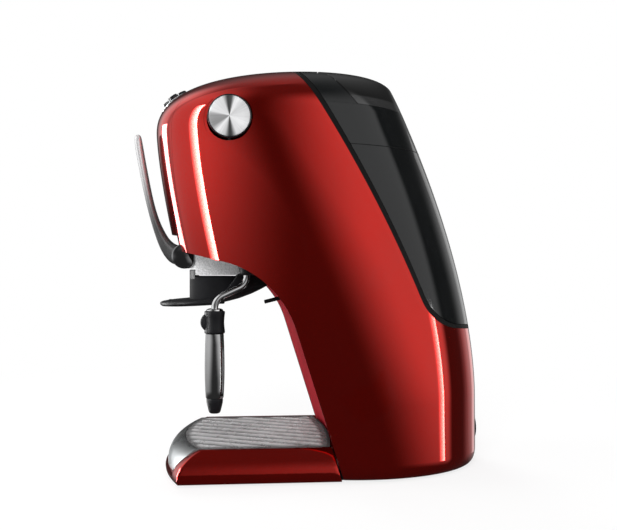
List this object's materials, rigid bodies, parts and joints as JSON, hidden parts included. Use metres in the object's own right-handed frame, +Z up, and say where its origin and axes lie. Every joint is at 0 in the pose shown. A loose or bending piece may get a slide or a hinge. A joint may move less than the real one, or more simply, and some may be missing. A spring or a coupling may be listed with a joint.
{
  "type": "pod coffee machine",
  "caption": "Lever-operated pod coffee machine with a leaning lofted housing, lift-out smoked rear water tank, capsule drawer, steam wand and drip tray.",
  "frame": {"origin": "on the counter under the middle of the overall footprint", "axes": "+Z up, front (lever, drip tray) toward -Y, steam wand and knob on +X"},
  "size_m": [0.1728, 0.3021, 0.333],
  "materials": {
    "red_lacquer": "glossy red lacquer",
    "dark_red_rear": "glossy red lacquer",
    "black_gloss": "glossy black",
    "black_satin": "satin black",
    "smoked_clear": "smoked clear",
    "polished_chrome": "polished",
    "cast_silver": "satin cast",
    "spun_aluminium": "radially brushed",
    "silver_paint": "satin silver",
    "grille_steel": "brushed",
    "plain_steel": "plain",
    "soft_rubber": "matt",
    "inner_plastic": "natural",
    "brass_valve": "machined",
    "boiler_alloy": "cast",
    "pump_case": "moulded",
    "circuit_board": "laminate"
  },
  "bodies": {
    "machine": {"right_side_shell": "red_lacquer", "left_side_shell": "red_lacquer", "front_panel": "red_lacquer", "column_panel": "red_lacquer", "tray_base": "red_lacquer", "rear_panel": "dark_red_rear", "tank_bay_liner": "black_gloss", "head_bottom_cover": "black_satin", "spout_cover": "black_satin", "base_plate": "black_satin", "shelf_peg": "black_satin", "steam_swivel": "black_satin", "cord_gland": "black_satin", "brew_head": "cast_silver", "control_plate": "spun_aluminium", "housing_screws": "plain_steel", "steam_tube": "plain_steel", "wand_tube": "plain_steel", "inner_frame": "plain_steel", "rubber_feet": "soft_rubber", "socket_seal": "soft_rubber", "pump_mounts": "soft_rubber", "suction_hose": "soft_rubber", "pressure_hose": "soft_rubber", "tank_socket": "inner_plastic", "flow_meter": "inner_plastic", "steam_valve": "brass_valve", "thermoblock": "boiler_alloy", "pump": "pump_case", "control_board": "circuit_board", "button_board": "circuit_board"},
    "lever": {"lever": "polished_chrome", "lever_shaft": "plain_steel"},
    "piston": {"brew_piston": "inner_plastic", "piston_seal": "soft_rubber"},
    "drawer": {"capsule_drawer": "black_satin"},
    "tank": {"water_tank": "smoked_clear", "tank_collar": "smoked_clear", "lid_hinge_pin": "plain_steel", "tank_valve": "inner_plastic"},
    "lid": {"tank_lid": "black_gloss"},
    "tray": {"drip_tray": "silver_paint"},
    "grille": {"drip_grille": "grille_steel"},
    "knob": {"steam_knob": "black_satin", "knob_face": "spun_aluminium", "valve_spindle": "plain_steel"},
    "wand": {"steam_pipe": "polished_chrome", "frother_grip": "black_satin"},
    "frother": {"frother_sleeve": "polished_chrome", "frother_tip": "black_satin"},
    "power_key": {"power_button": "black_satin"},
    "steam_key": {"steam_button": "black_satin"},
    "small_cup_key": {"small_cup_button": "black_satin"},
    "large_cup_key": {"large_cup_button": "black_satin"}
  },
  "joints": [
    {"name": "lever_pivot", "type": "hinge", "parent": "machine", "child": "lever", "pos_m": [0, -0.107, 0.1795], "axis": [1, 0, 0], "range_deg": [0, 55]},
    {"name": "piston_slide", "type": "slide", "parent": "machine", "child": "piston", "axis": [0, 0, -1], "range_m": [0, 0.008]},
    {"name": "drawer_slide", "type": "slide", "parent": "machine", "child": "drawer", "axis": [0, -1, 0], "range_m": [0, 0.038]},
    {"name": "tank_lift", "type": "slide", "parent": "machine", "child": "tank", "axis": [0, 0, 1], "range_m": [0, 0.16]},
    {"name": "lid_hinge", "type": "hinge", "parent": "tank", "child": "lid", "pos_m": [0, 0.0093, 0.3275], "axis": [1, 0, 0], "range_deg": [0, 80]},
    {"name": "tray_slide", "type": "slide", "parent": "machine", "child": "tray", "axis": [0, -1, 0], "range_m": [0, 0.15]},
    {"name": "grille_lift", "type": "slide", "parent": "tray", "child": "grille", "axis": [0, 0, 1], "range_m": [0, 0.01]},
    {"name": "knob_turn", "type": "hinge", "parent": "machine", "child": "knob", "pos_m": [0.0716, -0.069, 0.288], "axis": [1, 0, 0], "range_deg": [0, 270]},
    {"name": "wand_swivel", "type": "hinge", "parent": "machine", "child": "wand", "pos_m": [0.052, -0.055, 0.17], "axis": [0, 0, 1], "range_deg": [0, 70]},
    {"name": "sleeve_pull", "type": "slide", "parent": "wand", "child": "frother", "axis": [0, 0, -1], "range_m": [0, 0.02]},
    {"name": "power_press", "type": "slide", "parent": "machine", "child": "power_key", "axis": [0, 0.5878, -0.809], "range_m": [0, 0.0015], "stiffness_N_per_m": 300, "springref_m": -0.001},
    {"name": "steam_press", "type": "slide", "parent": "machine", "child": "steam_key", "axis": [0, 0.5878, -0.809], "range_m": [0, 0.0015], "stiffness_N_per_m": 300, "springref_m": -0.001},
    {"name": "small_cup_press", "type": "slide", "parent": "machine", "child": "small_cup_key", "axis": [0, 0.5878, -0.809], "range_m": [0, 0.0015], "stiffness_N_per_m": 300, "springref_m": -0.001},
    {"name": "large_cup_press", "type": "slide", "parent": "machine", "child": "large_cup_key", "axis": [0, 0.5878, -0.809], "range_m": [0, 0.0015], "stiffness_N_per_m": 300, "springref_m": -0.001}
  ],
  "couplings": [
    {"joint": "piston_slide", "follows": "lever_pivot", "m_per_rad": 0.0083}
  ]
}
